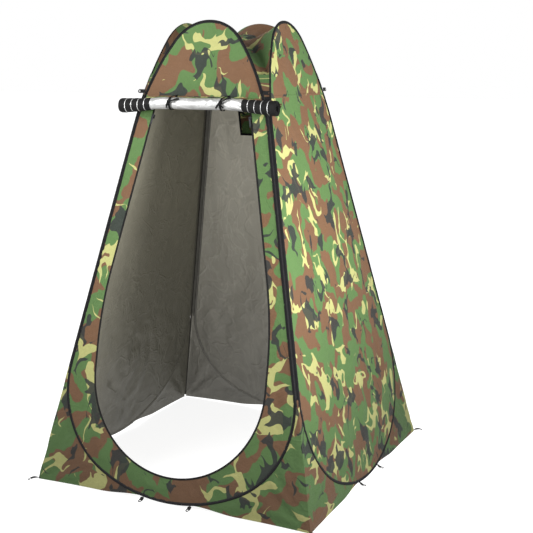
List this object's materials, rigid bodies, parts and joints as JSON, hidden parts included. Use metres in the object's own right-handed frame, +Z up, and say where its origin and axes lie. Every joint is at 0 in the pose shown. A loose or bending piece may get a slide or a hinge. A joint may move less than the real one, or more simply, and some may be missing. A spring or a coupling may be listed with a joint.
{
  "type": "pop-up privacy shower tent",
  "caption": "Square pop-up privacy tent in camouflage cloth, held up by egg-shaped sprung hoops, with an arched front doorway, its door rolled up and tied.",
  "frame": {"origin": "on the floor, at the middle of the square foot", "axes": "+Z up, -Y out of the doorway, +X to the right of someone facing the doorway"},
  "size_m": [1.2704, 1.2704, 1.8255],
  "materials": {
    "spring_steel": "spring-steel wire, 3.5 mm",
    "crimp_tube": "crimped tube",
    "hoop_binding": "black woven polyester binding tape",
    "camouflage_cloth": "woodland camouflage print on coated polyester taffeta, silver-grey coating inside",
    "webbing": "black polyester webbing",
    "ribbon": "black narrow ribbon",
    "zip_metal": "black enamelled zip metal",
    "zip_tape": "black nylon coil zip on woven tape",
    "silver_coating": "silver polyurethane-coated inner face of the door cloth",
    "mesh_cloth": "fine black insect mesh"
  },
  "bodies": {
    "front_side": {"front_hoop_wire": "spring_steel", "front_hoop_ferrule": "crimp_tube", "front_hoop_sleeve": "hoop_binding", "front_lower_panel": "camouflage_cloth", "front_upper_panel": "camouflage_cloth", "front_left_gusset": "camouflage_cloth", "front_right_gusset": "camouflage_cloth", "front_hem_loops": "webbing", "front_left_peg_loop": "webbing", "front_right_peg_loop": "webbing", "front_left_guy_tab": "webbing", "front_right_guy_tab": "webbing", "roof_panel": "camouflage_cloth", "zip_track": "zip_tape", "left_door_tie": "ribbon", "right_door_tie": "ribbon", "door_web": "silver_coating"},
    "right_side": {"right_hoop_wire": "spring_steel", "right_hoop_ferrule": "crimp_tube", "right_hoop_sleeve": "hoop_binding", "right_lower_panel": "camouflage_cloth", "right_upper_panel": "camouflage_cloth", "right_left_gusset": "camouflage_cloth", "right_right_gusset": "camouflage_cloth", "right_hem_loops": "webbing", "back_right_peg_loop": "webbing", "back_right_guy_tab": "webbing"},
    "back_side": {"back_hoop_wire": "spring_steel", "back_hoop_ferrule": "crimp_tube", "back_hoop_sleeve": "hoop_binding", "back_lower_panel": "camouflage_cloth", "back_upper_panel": "camouflage_cloth", "back_left_gusset": "camouflage_cloth", "back_right_gusset": "camouflage_cloth", "back_hem_loops": "webbing", "window_binding": "hoop_binding", "window_mesh": "mesh_cloth"},
    "left_side": {"left_hoop_wire": "spring_steel", "left_hoop_ferrule": "crimp_tube", "left_hoop_sleeve": "hoop_binding", "left_lower_panel": "camouflage_cloth", "left_upper_panel": "camouflage_cloth", "left_left_gusset": "camouflage_cloth", "left_right_gusset": "camouflage_cloth", "left_hem_loops": "webbing", "back_left_peg_loop": "webbing", "back_left_guy_tab": "webbing"},
    "rolled_door": {"door_roll": "silver_coating"},
    "left_slider": {"left_zip_slider": "zip_metal"},
    "right_slider": {"right_zip_slider": "zip_metal"},
    "left_pull": {"left_pull_tab": "zip_metal"},
    "right_pull": {"right_pull_tab": "zip_metal"},
    "flap": {"window_flap": "camouflage_cloth"}
  },
  "joints": [
    {"name": "right_fold", "type": "hinge", "parent": "front_side", "child": "right_side", "pos_m": [0.6, -0.6, 0], "axis": [0.2036, -0.2036, -0.9577], "range_deg": [0, 78], "stiffness_Nm_per_rad": 60, "deforming": ["roof_panel"]},
    {"name": "left_fold", "type": "hinge", "parent": "front_side", "child": "left_side", "pos_m": [-0.6, -0.6, 0], "axis": [-0.2036, -0.2036, -0.9577], "range_deg": [0, 82], "stiffness_Nm_per_rad": 60},
    {"name": "back_fold", "type": "hinge", "parent": "right_side", "child": "back_side", "pos_m": [0.6, 0.6, 0], "axis": [-0.2036, -0.2036, 0.9577], "range_deg": [0, 82], "stiffness_Nm_per_rad": 60},
    {"name": "door_unroll", "type": "slide", "parent": "front_side", "child": "rolled_door", "axis": [0, -0.2079, -0.9781], "range_m": [0, 1.17], "deforming": ["door_web", "left_door_tie", "right_door_tie"]},
    {"name": "left_zip", "type": "slide", "parent": "front_side", "child": "left_slider", "axis": [-0.2036, -0.2036, -0.9577], "range_m": [0, 0.58]},
    {"name": "right_zip", "type": "slide", "parent": "front_side", "child": "right_slider", "axis": [0.2036, -0.2036, -0.9577], "range_m": [0, 0.58]},
    {"name": "left_pull_swing", "type": "hinge", "parent": "left_slider", "child": "left_pull", "pos_m": [-0.21127, -0.29816, 1.45708], "axis": [-0.9791, 0.0423, 0.1991], "range_deg": [0, 110]},
    {"name": "right_pull_swing", "type": "hinge", "parent": "right_slider", "child": "right_pull", "pos_m": [0.21127, -0.29816, 1.45708], "axis": [-0.9791, -0.0423, -0.1991], "range_deg": [0, 110]},
    {"name": "flap_lift", "type": "hinge", "parent": "back_side", "child": "flap", "pos_m": [0, 0.2843, 1.50832], "axis": [1, 0, 0], "range_deg": [0, 110]}
  ],
  "couplings": [
    {"joint": "left_fold", "follows": "right_fold", "ratio": 1.04},
    {"joint": "back_fold", "follows": "right_fold", "ratio": 1.04}
  ]
}
